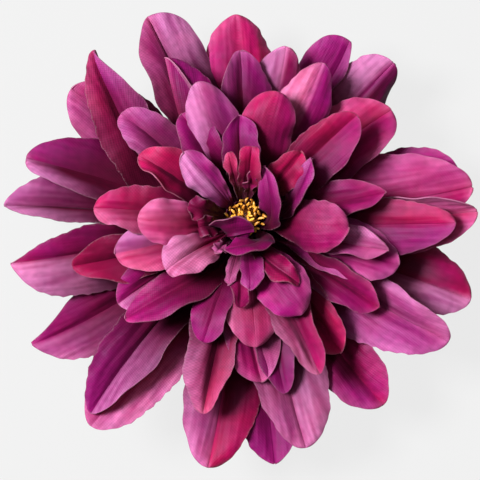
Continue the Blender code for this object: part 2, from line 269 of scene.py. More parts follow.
# Back petal layer: the widest of six rosettes, each die-cut from one piece of woven polyester, dyed
# purple with crimson brushed in, stiffened with size, and pressed hot between moulds, which leaves a sharp
# midrib and soft pleats. Its middle is gathered to a ring and threaded on the calyx's pin.
#
# A row gives the azimuth, reach and height of a petal's tip, in degrees and millimetres, and how many
# degrees its left and right halves are folded up. The rest is given where a petal isn't plain. For its
# form, swing turns the root away from the tip, wide, widest, point and blunt draw the outline, bow, hook,
# sway and twist bend the midrib, and pleat, dome, tip, roll and crease shape the cloth across it. For its
# colour, dye is the share of crimson, which dye_right changes on the right half, and blush adds crimson
# along the midrib. The painted light of each half makes it lighter or darker, as painted light and shade,
# the crease shade of each half darkens it near the midrib as painted shade, and dark is how far out the
# painted shade of the root begins to fade.
PLAIN_PETAL = {
    "swing": 0, "dye": 0.2, "blush": 0.2, "pleat": 0.4, "dome": 0.2, "tip_right": 0, "point": 0.2,
    "roll_left": 0, "roll_right": 0, "wide_left": 1, "wide_right": 1, "widest": 0.64, "bow": 1, "hook": 0,
    "sway": 0, "blunt_left": 0, "blunt_right": 0, "pale_left": 0, "pale_right": 0, "crease": 0.5,
    "twist": 0, "dark": 0.38, "soak_left": 0.4, "soak_right": 0.4, "dye_right": None}
Petal = namedtuple(
    "Petal", ["azimuth", "reach", "height", "left", "right", *PLAIN_PETAL], defaults=PLAIN_PETAL.values())
LENGTH_STEPS = 54
CROSS_STEPS = 40
CLOTH_THICKNESS = 0.35
RING_PITCH = 3.4
LAYER_GAP = 0.3
BACK_RING_RADIUS = 9.5
RING_RADIUS_STEP = 1.0
ROOT_INSET = 0.8
ROOT_SHARE = 0.16
NECK = 1.3
WEB_SHARE = 0.6
GATHERS = 22
GATHER_DEPTH = 0.18
RING_BEVEL = 0.6
SWAY = 1.3
EDGE_WOBBLE = 0.026
PLEAT_COUNTS = (1.5, 2.5)
PLEAT_DRIFT = 0.4
RUFFLES = (0.3, 0.7)
TIP_SHARE = 0.03
BOWL_RISE = 20.0
FLOWER_RADIUS = 75.0
TIP_DROOP = 1.5
CREASE_HEIGHT = 0.25
CREASE_WIDTH = 0.4
SHARP_FOLD_RADIUS = 0.4
SOFT_FOLD_RADIUS = 2.8
DARK_FADE = 0.68
RIB_SPACING = 0.64


def dyed_cloth(name, paleness):
    """Woven polyester, dyed and heat-set: a twill with a satin gleam, purple with crimson airbrushed in,
    and greyish where the cut edge frays. It is painted darker towards the root and along creases as painted
    shade, painted lighter or darker by halves and on its puckers as painted light and shade, and painted
    lighter at its rim, partly as worn size and partly as painted highlight. The weave repeats at about
    0.5 mm on the real cloth, and its ribs are drawn 0.64 mm apart, so that they show."""
    material, tree = new_material(name)
    cut = add_node(tree, "ShaderNodeUVMap", uv_map="cut").outputs["UV"]
    grain = add_node(tree, "ShaderNodeUVMap", uv_map="grain").outputs["UV"]
    place = add_node(tree, "ShaderNodeTexCoord").outputs["Object"]
    dye = add_node(tree, "ShaderNodeAttribute", attribute_name="dye").outputs["Fac"]
    # The depth attribute carries painted shade: low towards the root and along the creases.
    depth = add_node(tree, "ShaderNodeAttribute", attribute_name="depth").outputs["Fac"]
    edge = add_node(tree, "ShaderNodeAttribute", attribute_name="edge").outputs["Fac"]
    # This attribute carries each half's painted light and shade: above 0 lighter, below 0 darker.
    pale = add_node(tree, "ShaderNodeAttribute", attribute_name="pale").outputs["Fac"]

    # Pleats and puckers run along each petal: a few broad ones and many fine ones between them. The raised
    # puckers are painted lighter and the hollows darker, as painted light and shade, and a half's painted
    # light is stronger on the raised ones.
    stretched = add_node(tree, "ShaderNodeMapping", {"Vector": grain, "Scale": (0.5, 0.06, 1.0)})
    pucker = add_node(tree, "ShaderNodeTexNoise", {
        "Vector": stretched.outputs[0], "Scale": 1.0, "Detail": 1.5})
    # Painted light and shade of the relief: raised puckers lighter, hollows darker.
    pucker_shade = add_node(tree, "ShaderNodeMapRange", {
        "Value": pucker.outputs["Fac"], "From Min": 0.3, "From Max": 0.7, "To Min": 0.87, "To Max": 1.11})
    # Painted light: scales a half's painted light up on raised puckers and down in the hollows.
    pucker_light = add_node(tree, "ShaderNodeMapRange", {
        "Value": pucker.outputs["Fac"], "From Min": 0.3, "From Max": 0.7, "To Min": 0.6, "To Max": 1.35})

    blotch = add_node(tree, "ShaderNodeTexNoise", {"Vector": place, "Scale": 90.0, "Detail": 2.0})
    spread = add_node(tree, "ShaderNodeMapRange", {
        "Value": blotch.outputs["Fac"], "From Min": 0.3, "From Max": 0.7, "To Min": -0.16, "To Max": 0.16})
    tint = add_node(tree, "ShaderNodeMath", {0: dye, 1: spread.outputs["Result"]}, use_clamp=True)
    dyed = add_node(tree, "ShaderNodeMix", {
        "Factor": tint.outputs[0], "A": linear("#940c6c"), "B": linear("#b30a4c")}, data_type="RGBA")
    # Near the cut edge the cloth is painted lighter: partly the size worn off, which leaves it duller, and
    # partly a painted highlight where the edge catches the light.
    rim = add_node(tree, "ShaderNodeMapRange", {
        "Value": edge, "From Min": 0.0, "From Max": 3.4, "To Min": 0.55 + paleness, "To Max": paleness})
    worn_and_lit_rim = add_node(tree, "ShaderNodeMath", {
        0: rim.outputs["Result"], 1: blotch.outputs["Fac"], 2: -0.1}, operation="MULTIPLY_ADD")
    wear_and_light = add_node(tree, "ShaderNodeMath", {
        0: pale, 1: pucker_light.outputs["Result"], 2: worn_and_lit_rim.outputs[0]},
        operation="MULTIPLY_ADD", use_clamp=True)
    # Painted light: the lighter pink that a half's painted light and the rim are mixed towards.
    lightened_colour = add_node(tree, "ShaderNodeMix", {
        "Factor": tint.outputs[0], "A": linear("#bc70a6"), "B": linear("#ca6c96")}, data_type="RGBA")
    lightened = add_node(tree, "ShaderNodeMix", {
        "Factor": wear_and_light.outputs[0], "A": dyed.outputs["Result"], "B": lightened_colour.outputs["Result"]},
        data_type="RGBA")
    # Painted shade: a half whose painted light is below 0 is mixed towards dark crimson.
    darkening = add_node(tree, "ShaderNodeMath", {0: pale, 1: -1.0}, operation="MULTIPLY", use_clamp=True)
    shaded = add_node(tree, "ShaderNodeMix", {
        "Factor": darkening.outputs[0], "A": lightened.outputs["Result"], "B": linear("#400326")},
        data_type="RGBA")
    # Painted shade towards the root and along the creases: where depth is low the colour goes to deep
    # crimson.
    deep = add_node(tree, "ShaderNodeMix", {
        "Factor": depth, "A": linear("#4a021e"), "B": shaded.outputs["Result"]}, data_type="RGBA")

    threads = add_node(tree, "ShaderNodeSeparateXYZ", {"Vector": cut})
    waves = []
    for across_sign in (1.0, -1.0):
        total = add_node(tree, "ShaderNodeMath", {
            0: threads.outputs["Y"], 1: across_sign, 2: threads.outputs["X"]}, operation="MULTIPLY_ADD")
        phase = add_node(tree, "ShaderNodeMath", {
            0: total.outputs[0], 1: math.tau / RIB_SPACING / math.sqrt(2)}, operation="MULTIPLY")
        waves.append(add_node(tree, "ShaderNodeMath", {0: phase.outputs[0]}, operation="SINE").outputs[0])
    weave = add_node(tree, "ShaderNodeMath", {0: waves[1], 1: 0.8, 2: waves[0]}, operation="MULTIPLY_ADD")
    fleck = add_node(tree, "ShaderNodeTexNoise", {"Vector": cut, "Scale": 1.7, "Detail": 3.0})
    fleck_share = add_node(tree, "ShaderNodeMapRange", {
        "Value": fleck.outputs["Fac"], "From Min": 0.3, "From Max": 0.7, "To Min": 0.3, "To Max": 1.2})
    uneven = add_node(tree, "ShaderNodeMath", {
        0: weave.outputs[0], 1: fleck_share.outputs["Result"]}, operation="MULTIPLY")
    shade = add_node(tree, "ShaderNodeMapRange", {
        "Value": uneven.outputs[0], "From Min": -1.5, "From Max": 1.5, "To Min": 0.81, "To Max": 1.19})
    # The dye has taken unevenly, in soft flecks a millimetre or two wide.
    uptake = add_node(tree, "ShaderNodeTexNoise", {"Vector": cut, "Scale": 0.55, "Detail": 4.0})
    mottle = add_node(tree, "ShaderNodeMapRange", {
        "Value": uptake.outputs["Fac"], "From Min": 0.3, "From Max": 0.7, "To Min": 0.84, "To Max": 1.13})
    flecked = add_node(tree, "ShaderNodeMath", {
        0: shade.outputs["Result"], 1: mottle.outputs["Result"]}, operation="MULTIPLY")
    both_shades = add_node(tree, "ShaderNodeMath", {
        0: flecked.outputs[0], 1: pucker_shade.outputs["Result"]}, operation="MULTIPLY")
    woven = add_node(tree, "ShaderNodeMix", {
        "Factor": 1.0, "A": deep.outputs["Result"], "B": both_shades.outputs[0]},
        data_type="RGBA", blend_type="MULTIPLY")

    # The frayed edge is up to 0.8 mm deep, and its threads are grey with size and dust.
    ragged = add_node(tree, "ShaderNodeTexNoise", {"Vector": cut, "Scale": 1.6, "Detail": 2.0})
    reach = add_node(tree, "ShaderNodeMapRange", {
        "Value": ragged.outputs["Fac"], "From Min": 0.4, "From Max": 0.75, "To Min": 0.02, "To Max": 0.8})
    frayed = add_node(tree, "ShaderNodeMapRange", {
        "Value": edge, "From Min": 0.0, "From Max": reach.outputs["Result"], "To Min": 0.5, "To Max": 0.0})
    colour = add_node(tree, "ShaderNodeMix", {
        "Factor": frayed.outputs["Result"], "A": woven.outputs["Result"], "B": linear("#8f6474")},
        data_type="RGBA")

    pressed = add_node(tree, "ShaderNodeBump", {
        "Height": pucker.outputs["Fac"], "Strength": 1.0, "Distance": 0.0005})
    bump = add_node(tree, "ShaderNodeBump", {
        "Height": uneven.outputs[0], "Strength": 0.4, "Distance": 0.00004,
        "Normal": pressed.outputs["Normal"]})
    rough = add_node(tree, "ShaderNodeMapRange", {
        "Value": uneven.outputs[0], "From Min": -1.5, "From Max": 1.5, "To Min": 0.6, "To Max": 0.52})
    shader = add_node(tree, "ShaderNodeBsdfPrincipled", {
        "Base Color": colour.outputs["Result"], "Roughness": rough.outputs["Result"],
        "Normal": bump.outputs["Normal"], "Sheen Weight": 0.03, "Sheen Roughness": 0.4,
        "Sheen Tint": linear("#e6c4f0"), "IOR": 1.5, "Specular IOR Level": 0.3,
        "Specular Tint": linear("#dccbff")})
    # Light that comes through the cloth has passed its dye twice, so it is redder and deeper.
    through = add_node(tree, "ShaderNodeMix", {
        "Factor": 1.0, "A": colour.outputs["Result"], "B": (1.0, 0.5, 0.5, 1.0)},
        data_type="RGBA", blend_type="MULTIPLY")
    glow = add_node(tree, "ShaderNodeBsdfTranslucent", {"Color": through.outputs["Result"]})
    both = add_node(tree, "ShaderNodeMixShader", {0: 0.4, 1: shader.outputs[0], 2: glow.outputs[0]})
    finish_shader(tree, both)
    return material


cloth_materials = [dyed_cloth("dyed_polyester_face", 0.0), dyed_cloth("dyed_polyester_reverse", 0.3)]


def petal_sheet(petal, width, arch_reach, arch_height, ring_radius, ring_middle, draw):
    """Points, flat-cut places in millimetres, dye values, and painted shade and light of one petal of
    pressed cloth.
    """
    stations = 1.0 - (1.0 - np.linspace(0.0, 1.0, LENGTH_STEPS + 1)) ** 1.6
    spread = np.linspace(-1.0, 1.0, CROSS_STEPS + 1)
    across = np.sign(spread) * np.abs(spread) ** 1.25
    root = polar(petal.azimuth + petal.swing, ring_radius - ROOT_INSET, ring_middle)
    arch = polar(petal.azimuth + petal.swing, arch_reach * petal.bow, arch_height)
    tip = polar(petal.azimuth, petal.reach, petal.height)
    points, sides, fronts = midrib_frames(root, arch, tip, stations)
    turned_by = np.radians(petal.twist) * smooth_step(stations / 0.7)[:, None]
    sides, fronts = (
        sides * np.cos(turned_by) + fronts * np.sin(turned_by),
        fronts * np.cos(turned_by) - sides * np.sin(turned_by))
    lengths = np.concatenate([[0.0], np.cumsum(np.linalg.norm(np.diff(points, axis=0), axis=1))]) / MM

    along = stations[:, None]
    share = np.abs(across)[None, :]
    sway = petal.sway + SWAY * draw.uniform(-1, 1) * petal.reach / FLOWER_RADIUS
    points = points + sides * (sway * MM * np.sin(np.pi * along**2))
    left_side = (across > 0)[None, :]
    past = np.clip((along - petal.widest) / (1 - petal.widest), 0.0, 1.0)
    rising = ROOT_SHARE + (1 - ROOT_SHARE) * smooth_step(along / petal.widest) ** NECK
    blunt = np.where(left_side, petal.blunt_left, petal.blunt_right)
    fullness = 2.4 - 0.6 * petal.point + 2.0 * blunt
    taper = 0.5 + 0.35 * petal.point - 0.1 * blunt
    falling = TIP_SHARE + (1 - TIP_SHARE) * (1.0 - past**fullness) ** taper
    wobble = np.zeros_like(along + share)
    for waves in (0.3, 0.7, 1.7):
        for on_side in (left_side, ~left_side):
            size = draw.uniform(-EDGE_WOBBLE, EDGE_WOBBLE)
            swell = size * np.sin(lengths[:, None] * waves + draw.uniform(0, 6))
            wobble = wobble + np.where(on_side, swell, 0.0)
    half = width / 2 * np.where(along < petal.widest, rising, falling) * (1.0 + wobble)
    half = half * np.where(left_side, petal.wide_left, petal.wide_right)

    opened = smooth_step((along - 0.08) / 0.5)
    closed = smooth_step((along - 0.72) / 0.28)
    lift = np.where(left_side, petal.left, petal.right) * opened
    lift = lift + np.where(left_side, 0.0, petal.tip_right) * closed
    lift = np.radians(lift)
    out = half * share
    pillows = 4.0 * share * (1.0 - share)
    arched = 1.0 - share**2
    rise = half * petal.dome * opened * (petal.crease * pillows + (1.0 - petal.crease) * arched)
    roll = np.where(left_side, petal.roll_left, petal.roll_right)
    rise = rise + half * roll * opened * np.clip((share - 0.5) / 0.5, 0.0, 1.0) ** 2
    for on_side in (left_side, ~left_side):
        pleat_count = draw.uniform(*PLEAT_COUNTS)
        start_phase = draw.random()
        fold = 0.5 + 0.5 * np.cos(math.tau * (share * pleat_count + start_phase - PLEAT_DRIFT * along))
        depth_along = np.sin(np.pi * along**0.8) * np.clip(share * 5, 0, 1) * (1 - share**4)
        rise = rise + np.where(on_side, petal.pleat * (fold**1.3 - 0.45) * depth_along, 0.0)
    for waves in (1.3, 2.6, 4.5):
        size = draw.uniform(*RUFFLES)
        ruffle = size * np.sin(math.tau * (waves * along + draw.random()) + across * 0.8)
        rise = rise + ruffle * share**2 * opened
    groove = np.exp(-(out / CREASE_WIDTH) ** 2) * smooth_step(along / 0.3)
    rise = rise - CREASE_HEIGHT * petal.crease * groove

    sideways = np.sign(across)[None, :] * (out * np.cos(lift) - rise * np.sin(lift))
    sideways = np.where(share < 1e-6, 0.0, sideways)
    fold_radius = SHARP_FOLD_RADIUS + (SOFT_FOLD_RADIUS - SHARP_FOLD_RADIUS) * (1.0 - petal.crease)
    risen = np.sqrt(out**2 + fold_radius**2) - fold_radius
    upwards = risen * np.sin(lift) + rise * np.cos(lift)
    upwards = upwards + (petal.hook - TIP_DROOP * petal.reach / FLOWER_RADIUS) * closed**2
    places = points[:, None, :] + (
        sides[:, None, :] * sideways[..., None] + fronts[:, None, :] * upwards[..., None]) * MM
    out_from_axis = np.hypot(places[..., 0], places[..., 1]) / (FLOWER_RADIUS * MM)
    places[..., 2] += BOWL_RISE * MM * out_from_axis**2

    turn = math.radians(petal.azimuth + petal.swing)
    outward = ring_radius + lengths[:, None] + 0 * share
    offset = out * np.sign(across)[None, :]
    ahead = np.array([math.cos(turn), math.sin(turn)])
    aside = np.array([-math.sin(turn), math.cos(turn)])
    cut = outward[..., None] * ahead + offset[..., None] * aside
    grain = np.stack([offset + 40.0 * draw.random(), outward], -1)
    crease_blush = np.exp(-(out / 3.0) ** 2) * 0.7 + 0.5 * (1 - along)
    over_crease = smooth_step((np.sign(across) * out / 2.0 + 1.0) / 2.0)
    dye_right = petal.dye if petal.dye_right is None else petal.dye_right
    dye = np.clip(dye_right + (petal.dye - dye_right) * over_crease + petal.blush * crease_blush, 0.0, 1.0)
    # Painted light and shade of each half, from its two given amounts, fading in beyond the first third of
    # the petal.
    pale = petal.pale_right + (petal.pale_left - petal.pale_right) * over_crease
    pale = pale * smooth_step((along - 0.3) / 0.4)
    # Painted shade along the crease: deeper where the midrib is blushed, and across each half as far as its
    # crease shade reaches.
    trough = 1.0 - 0.7 * petal.blush * np.exp(-(out / 3.5) ** 2) * (1.0 - closed)
    crease_shade = petal.soak_right + (petal.soak_left - petal.soak_right) * over_crease
    crease_shade_share = 0.3 * np.maximum(crease_shade, 1.0)
    shaded = crease_shade * (1.0 - smooth_step((share - crease_shade_share) / 0.45)) * (1.0 - 0.7 * closed)
    trough = trough * np.clip(1.0 - shaded, 0.0, 1.0)
    # Painted shade towards the root, where the layers above shade the petal.
    depth = smooth_step((lengths[:, None] / lengths[-1] - petal.dark) / DARK_FADE) * trough
    edge = np.minimum(half * (1 - share), (lengths[-1] - lengths)[:, None] + 0 * share)
    return places, cut, grain, dye, depth, edge, pale


def gathered_middle(ring_radius, bottom, top, slope):
    """The layer's middle, as a ring puckered round the pin and the uncut web that joins the petals' roots:
    two sheets in the form that petal_sheet gives."""
    turns = np.linspace(0.0, math.tau, 6 * GATHERS + 1)
    middle = (bottom + top) / 2
    hole = PIN_RADIUS + 0.5
    waist, shoulder, lip = ring_radius - 0.3, ring_radius - 0.5, ring_radius - 0.6 - RING_BEVEL
    ring = [
        (hole, bottom + 0.2), (lip, bottom + 0.12), (shoulder, bottom + RING_BEVEL), (waist, middle),
        (shoulder, top - RING_BEVEL), (lip, top - 0.12), (hole, top - 0.2)]
    run = WEB_SHARE * ring_radius / math.hypot(1.0, slope)
    web = [
        (radius, middle + slope * (radius - ring_radius) + BOWL_RISE * (radius / FLOWER_RADIUS) ** 2)
        for radius in np.linspace(ring_radius - 0.4, ring_radius + run, 4)]
    for profile in (ring, web):
        radius, height = [np.array(column)[:, None] for column in zip(*profile)]
        pucker = GATHER_DEPTH * np.cos(turns * GATHERS)[None, :] * np.clip((radius - hole) / 3.0, 0.0, 1.0)
        radius, height = radius + pucker, height + pucker
        places = np.stack([radius * np.cos(turns), radius * np.sin(turns), height], -1) * MM
        flat = np.zeros(places.shape[:2])
        grain = np.stack([turns[None, :] * ring_radius + flat, radius], -1)
        # The middle's depth is 0, so it is painted in the deep root colour as painted shade.
        yield places, places[..., :2] / MM, grain, flat + 0.4, flat, flat + 5.0, flat


def petal_layer(name, node, number, width, arch_reach, arch_height, petals):
    """One rosette, its petals' roots gathered at the ring round the pin. The arch is where their midribs
    head for as they leave the ring."""
    draw = random.Random(number)
    ring_radius = BACK_RING_RADIUS - number * RING_RADIUS_STEP
    bottom = CALYX_HEIGHT + LAYER_GAP + number * RING_PITCH
    top = bottom + RING_PITCH - LAYER_GAP
    sheets = [
        petal_sheet(petal, width, arch_reach, arch_height, ring_radius, (bottom + top) / 2, draw)
        for petal in petals]
    slope = (arch_height - (bottom + top) / 2) / (arch_reach - ring_radius)
    sheets += gathered_middle(ring_radius, bottom, top, slope)
    vertices, faces = [], []
    for places, *_ in sheets:
        faces += grid_faces(*places.shape[:2], len(vertices))
        vertices += list(places.reshape(-1, 3))
    piece = new_piece(name, vertices, faces, cloth_materials)
    mesh = piece.data
    corners = np.array([loop.vertex_index for loop in mesh.loops])
    for column, map_name in ((1, "cut"), (2, "grain")):
        flat = np.concatenate([sheet[column].reshape(-1, 2) for sheet in sheets]).astype(np.float32)
        layer = mesh.uv_layers.new(name=map_name)
        layer.uv.foreach_set("vector", flat[corners].ravel())
    for column, attribute in ((3, "dye"), (4, "depth"), (5, "edge"), (6, "pale")):
        values = np.concatenate([sheet[column].ravel() for sheet in sheets]).astype(np.float32)
        mesh.attributes.new(attribute, "FLOAT", "POINT").data.foreach_set("value", values)
    skin = piece.modifiers.new("thickness", "SOLIDIFY")
    skin.thickness = CLOTH_THICKNESS * MM
    skin.offset = 0.0
    skin.material_offset = 1
    applied(piece, 50.0)
    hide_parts(node)
    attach(piece, "root")


petal_layer("petals_1_back", "petal_layer_1_back", 0, 25.0, 38.0, 15.0, (
    Petal(115.5, 71, 13, 52, 8, swing=-1, dye=0.3, blush=0.5, pleat=0.2, dome=0.35, blunt_right=0.8,
          pale_left=0.3, pale_right=0.8, soak_left=0.6, soak_right=0.1, dye_right=0),
    Petal(92.5, 65, 14, -8, -20, dye=0.5, blush=0.3, pleat=0.15, dome=0.3, point=0.4, wide_left=0.9,
          wide_right=0.95, pale_left=0.15, pale_right=0.1, crease=0.3, dark=0.15, soak_right=0,
          dye_right=0.6),
    Petal(60, 65.5, 14, 10, 50, swing=4, dye=0, blush=0, wide_left=0.9, wide_right=0.42, sway=-1.2,
          blunt_left=0.6),
    Petal(47, 68, 15, -12, -30, dye=0.1, blush=0, wide_left=0.86, wide_right=0.75, blunt_left=0.6,
          pale_left=1, pale_right=-0.8, crease=0.4, soak_right=0.8),
    Petal(13, 69, 10, 5, 5, dye=0.1, blush=0, wide_left=0.85, blunt_left=0.6),
    Petal(-19, 76, 8, -8, 20, dye=0.7, blush=0.1, pleat=0.2, wide_right=0.9, hook=-3, pale_right=1,
          soak_left=0.7, soak_right=0, dye_right=0.2),
    Petal(-53, 72, 12, 42, 28, dye=0.4, blush=0.5, pleat=0.2, dome=0.25, pale_right=0.1, soak_right=0.8,
          dye_right=0.1),
    Petal(-83, 76.5, 10, 25, 25, dye=0, blush=0, point=0.4, pale_left=-0.2, pale_right=-0.2),
    Petal(-98.6, 77.5, 14, 15, 12, dye=0.8, pleat=0.2, dome=0.3, pale_left=-0.1, pale_right=0.5,
          soak_right=0.2, dye_right=0.2),
    Petal(-127, 79.5, 16, 15, 0, swing=3, dye=0.4, pleat=0.2, pale_left=0.7, pale_right=0.3, crease=0.2,
          dark=0.1, soak_left=0),
    Petal(-150, 77, 12, 5, 28, point=1.5, wide_left=0.95, widest=0.58, sway=1.2, blunt_left=1.4,
          pale_left=0.5, pale_right=-0.2),
    Petal(176.3, 75.5, 13, 58, 8, dye=0, blush=0.1, point=0.5, roll_left=-0.1, wide_left=0.6,
          pale_left=0.9, pale_right=0.5, dark=0.46, soak_left=1.1, soak_right=0.3),
    Petal(142.5, 68.5, 14, 10, 25, dye=0.4, blush=0, pale_left=0.4, pale_right=0.3),
))


# Second petal layer: ten petals of the same dyed polyester, cut as one rosette and pressed like the back
# layer's, a little narrower. They are folded more steeply along their midribs, and most of them lie over
# the gaps between the back petals.
petal_layer("petals_2", "petal_layer_2", 1, 24.0, 32.0, 24.0, (
    Petal(131, 71, 18, 32, 48, swing=24, dye=0.7, blush=0.4, pleat=0.3, dome=0.3, tip_right=35,
          widest=0.4, bow=1.4, pale_left=0.15, pale_right=0.2, soak_left=0.7, dye_right=0),
    Petal(76.7, 55.5, 28, -12, -35, dye=0, pleat=0.1, dome=0.1, point=0.6, wide_left=0.85, wide_right=0.8,
          pale_left=1, pale_right=0.2, soak_left=0, soak_right=0.3, dye_right=0.3),
    Petal(37.2, 57.5, 21, 12, 35, dye=0.75, pale_left=0.2, pale_right=0.1, dark=0.2, soak_right=0.5,
          dye_right=0.4),
    Petal(8.8, 72, 14, 10, -10, swing=4, dye=0.4, blush=0.3, pleat=0.1, dome=0.25, wide_left=1.22,
          widest=0.58, pale_left=0.25, pale_right=0.1, crease=0.2, dark=0.1, soak_left=0.2),
    Petal(2.5, 72, 21, 45, 12, swing=-7, dye=0.4, blush=0.5, roll_left=0.3, pale_left=0.5, pale_right=0.2,
          dark=0.15),
    Petal(-30.4, 73.5, 19, 45, 13, swing=-2, dye=0.1, pleat=0.15, wide_right=1.2, widest=0.54,
          pale_left=0.5, pale_right=0.3, dark=0.15, soak_right=0.1, dye_right=0),
    Petal(-75, 73, 18, 5, 32, swing=3, dye=0.3, blush=0.1, pleat=0.15, dome=0.25, wide_left=1.12,
          pale_left=0.85, pale_right=0.5, soak_left=0.1, soak_right=0.1),
    Petal(-128.7, 76.5, 18, 55, 28, dye=0, blush=0, pleat=0.8, pale_left=0.6, pale_right=-0.2,
          soak_left=0, soak_right=0.3),
    Petal(-169.8, 74, 20, -5, 45, blush=0.4, pleat=0.2, dome=0.25, point=1.3, wide_left=1.1,
          wide_right=0.95, sway=1.2, blunt_left=1.3, pale_left=1, pale_right=-0.1, crease=0.3,
          soak_left=0),
    Petal(163.8, 71, 19, 53, 5, dye=0, pleat=0.2, dome=0.25, roll_left=-0.1, wide_left=0.85,
          pale_left=0.6, pale_right=-0.15, crease=0.25, dark=0.48, soak_left=1.4, soak_right=0.6),
))


# Third petal layer: thirteen shorter petals of the same cloth, cut as one rosette, pressed in narrower
# moulds and stood up more. Some are brushed with crimson all over, and some fold or roll in at an edge.
petal_layer("petals_3", "petal_layer_3", 2, 20.0, 22.0, 34.5, (
    Petal(115.7, 56.5, 28, 125, 8, swing=24, dye=0.6, blush=0.4, dome=0.25, wide_right=1.5, pale_left=1,
          pale_right=-0.15, soak_left=0, dye_right=0.1),
    Petal(139.1, 51, 30, 45, 15, dye=0.1, pleat=0.2, dome=0.3, wide_right=0.85, blunt_right=0.5,
          pale_left=0.3, pale_right=0.3, soak_left=0.3),
    Petal(91.7, 53, 30, 45, -10, dye=0, blush=0.1, pleat=0.1, pale_left=0.2, pale_right=0.1, crease=0.3,
          dark=0.4, soak_left=1, soak_right=0.6),
    Petal(64, 54.5, 32, -14, -35, swing=-6, dye=0.85, blush=0, pleat=0.2, widest=0.55, pale_left=0.9,
          dark=0.15, soak_left=0, dye_right=0.1),
    Petal(-0.5, 65, 30, 10, -10, dye=0.8, blush=0.1, pleat=0.1, wide_left=0.85, pale_left=0.1,
          pale_right=0.1, dark=0.35, soak_left=0.1, soak_right=0.2, dye_right=0),
    Petal(-16, 49.5, 31, 8, 30, dye=0.1, pale_left=0.1, pale_right=0.2, dark=0.1),
    Petal(-32.4, 49.5, 29, 62, 40, dye=0.3, blush=0.5),
    Petal(-53.5, 50.5, 28, 45, 45, dye=1, soak_left=0.3, soak_right=0.6),
    Petal(-76.9, 55, 27, 35, 45, dye=0, blush=0, wide_left=0.8, wide_right=0.85, crease=0.2, dark=0.5,
          soak_left=0.8, soak_right=0.8),
    Petal(-84, 50, 30, 25, 30, swing=-8, dye=0.3, pale_left=0.3, pale_right=0.1, soak_right=0.3),
    Petal(-102.4, 61, 28, 52, 52, dye=0.8, blush=0.7, roll_right=-0.4, pale_left=0.2, pale_right=0.5,
          soak_left=0.9, soak_right=1.2, dye_right=0.4),
    Petal(-147, 47, 30, 30, 42, dye=0.15, pleat=0.7, pale_left=0.6, soak_right=0.7),
    Petal(-165.6, 55.5, 28, 38, 45, dye=1, blush=0, pleat=0.15, pale_left=-0.35, pale_right=-0.5,
          crease=0.6, dark=0.4, soak_right=0.5),
))


# Fourth petal layer: thirteen petals of the same cloth, cut as one rosette, that rise steeply from their
# ring and arch outwards. Some are domed on a rounded mould, so their midrib is faint, and the others are
# folded.
petal_layer("petals_4", "petal_layer_4", 3, 17.0, 18.0, 44.5, (
    Petal(109, 45, 43, 0, -8, dye=0.1, pleat=0.1, dome=0.3, wide_left=0.95, pale_left=0.8, pale_right=0.3,
          crease=0.1, dark=0.2, soak_left=0),
    Petal(120.7, 38.5, 40, 52, 35, dye=0.1),
    Petal(148, 38.5, 41, 45, 12, dye=1, pleat=0.15, dome=0.3, roll_left=0.3, crease=0.2, dark=0.35,
          soak_left=1, soak_right=0.2),
    Petal(175, 47, 37, 38, 15, dye=0.85, pleat=0.1, dome=0.25, pale_left=0.4),
    Petal(76, 41, 42, -8, -15, dye=0.7, pleat=0.1, dome=0.3, blunt_left=0.5, blunt_right=0.5, crease=0.1,
          dark=0.36, dye_right=0.4),
    Petal(43.5, 47.5, 38, 30, 22, dye=0.85, pleat=0.15, wide_right=1.15, dye_right=0.3),
    Petal(11.5, 44.5, 38, 8, 55, dye=0.3, pleat=0.3, point=0.8, wide_left=0.9),
    Petal(-11.5, 45, 38, 30, 45, dye=0.25, pleat=0.6, wide_left=0.85, wide_right=0.6, pale_left=0.6,
          pale_right=0.3, dark=0.1, soak_left=0.1, soak_right=0.1),
    Petal(-64, 52.5, 36, 45, 42, dye=0.7, blush=0, pleat=0.6, pale_right=0.6),
    Petal(-85.1, 39, 40, -8, 12, dye=0.6, blush=0.3, pleat=0.1, dome=0.3, pale_left=0.3, pale_right=0.3,
          crease=0.1, soak_left=0, soak_right=0),
    Petal(-109.1, 39.5, 40, 40, -5, dye=0.1, pleat=0.1, dome=0.3, wide_left=0.75, wide_right=0.75,
          widest=0.75, pale_right=-0.2, crease=0.1),
    Petal(-141.4, 47.5, 38, 20, 30, swing=30, dye=0.3, pleat=0.6, wide_right=0.85, soak_right=0.2),
    Petal(-166, 41.5, 37, 30, 20, dye=0.8, blush=0.3, wide_left=1.1, pale_left=0.3, pale_right=0.6,
          crease=0.3, dark=0.15, dye_right=0.1),
))


